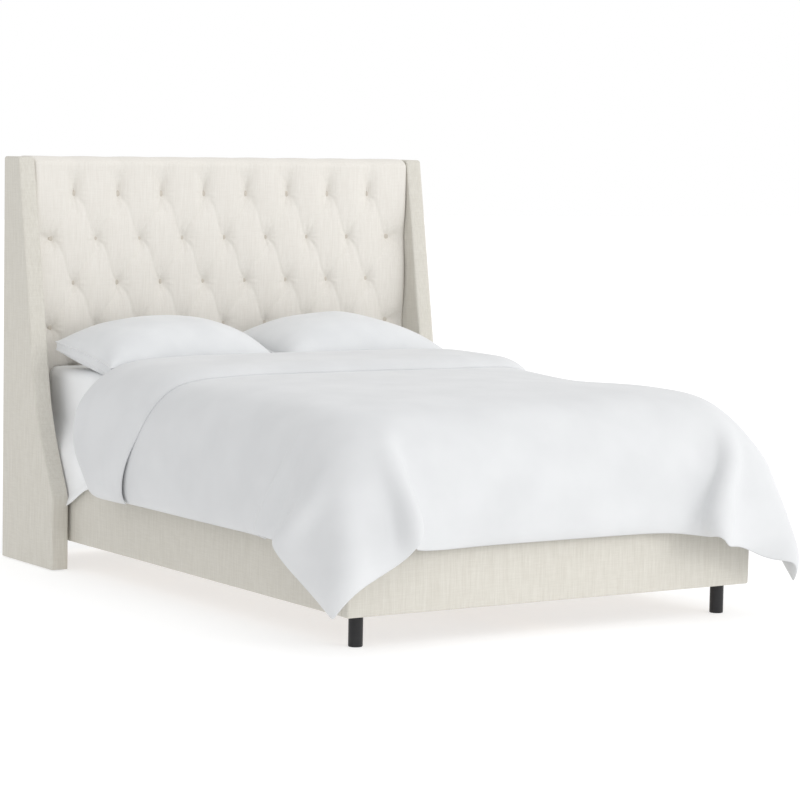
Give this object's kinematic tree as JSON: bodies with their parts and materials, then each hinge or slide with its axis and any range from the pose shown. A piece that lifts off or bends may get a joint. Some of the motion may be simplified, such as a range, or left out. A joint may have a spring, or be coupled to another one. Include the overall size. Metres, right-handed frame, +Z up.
{
  "type": "wingback bed",
  "caption": "Upholstered wingback bed with a diamond-tufted headboard, flared wings, low padded rails, slat deck, mattress and white bedding.",
  "frame": {"origin": "on the floor, in the middle of the box round the whole bed with its bedding", "axes": "+Y from the foot towards the headboard and the wall, +Z up, +X to the right of someone who stands at the foot and looks at the headboard"},
  "size_m": [1.738, 2.2162, 1.353],
  "materials": {
    "ivory_linen": "matte woven linen",
    "tufted_linen": "matte woven linen, deep tufted",
    "button_linen": "matte woven linen over a button",
    "back_cloth": "thin non-woven dust cloth",
    "pine": "sawn softwood, unfinished",
    "plywood": "sanded plywood",
    "black_wood": "satin black lacquer",
    "zinc_steel": "zinc plated",
    "nylon": "moulded nylon",
    "ticking": "woven ticking",
    "sheet_cotton": "smooth cotton",
    "duvet_cotton": "smooth cotton",
    "pillow_cotton": "smooth cotton"
  },
  "bodies": {
    "bed": {"wing_cover_left": "ivory_linen", "wing_cover_right": "ivory_linen", "wing_core_left": "pine", "wing_core_right": "pine", "wing_bolts": "zinc_steel", "wing_floor_pads": "nylon", "headboard_stile_left": "pine", "headboard_stile_right": "pine", "headboard_bottom_rail": "pine", "headboard_middle_rail": "pine", "headboard_top_rail": "pine", "headboard_panel": "plywood", "headboard_back_cover": "back_cloth", "tufted_pad": "tufted_linen", "tuft_buttons": "button_linen", "kick_panel": "ivory_linen", "rail_board_left": "pine", "rail_board_right": "pine", "rail_cover_left": "ivory_linen", "rail_cover_right": "ivory_linen", "foot_rail_board": "pine", "foot_rail_cover": "ivory_linen", "head_angle_left": "zinc_steel", "head_angle_right": "zinc_steel", "foot_angle_left": "zinc_steel", "foot_angle_right": "zinc_steel", "angle_bolts": "zinc_steel", "slat_cleat_left": "pine", "slat_cleat_right": "pine", "slats": "pine", "centre_beam": "pine", "beam_rests": "pine", "centre_legs": "pine", "centre_leg_pads": "nylon", "corner_block_left": "pine", "corner_block_right": "pine", "front_leg_left": "black_wood", "front_leg_right": "black_wood", "front_leg_bolts": "zinc_steel", "box_spring": "ticking", "mattress": "ticking", "flat_sheet": "sheet_cotton", "duvet": "duvet_cotton"},
    "pillow_left": {"pillow_left": "pillow_cotton"},
    "pillow_right": {"pillow_right": "pillow_cotton"}
  },
  "joints": [
    {"name": "pillow_left_lift", "type": "slide", "parent": "bed", "child": "pillow_left", "axis": [0, 0, 1], "range_m": [0, 0.75]},
    {"name": "pillow_right_lift", "type": "slide", "parent": "bed", "child": "pillow_right", "axis": [0, 0, 1], "range_m": [0, 0.75]}
  ]
}
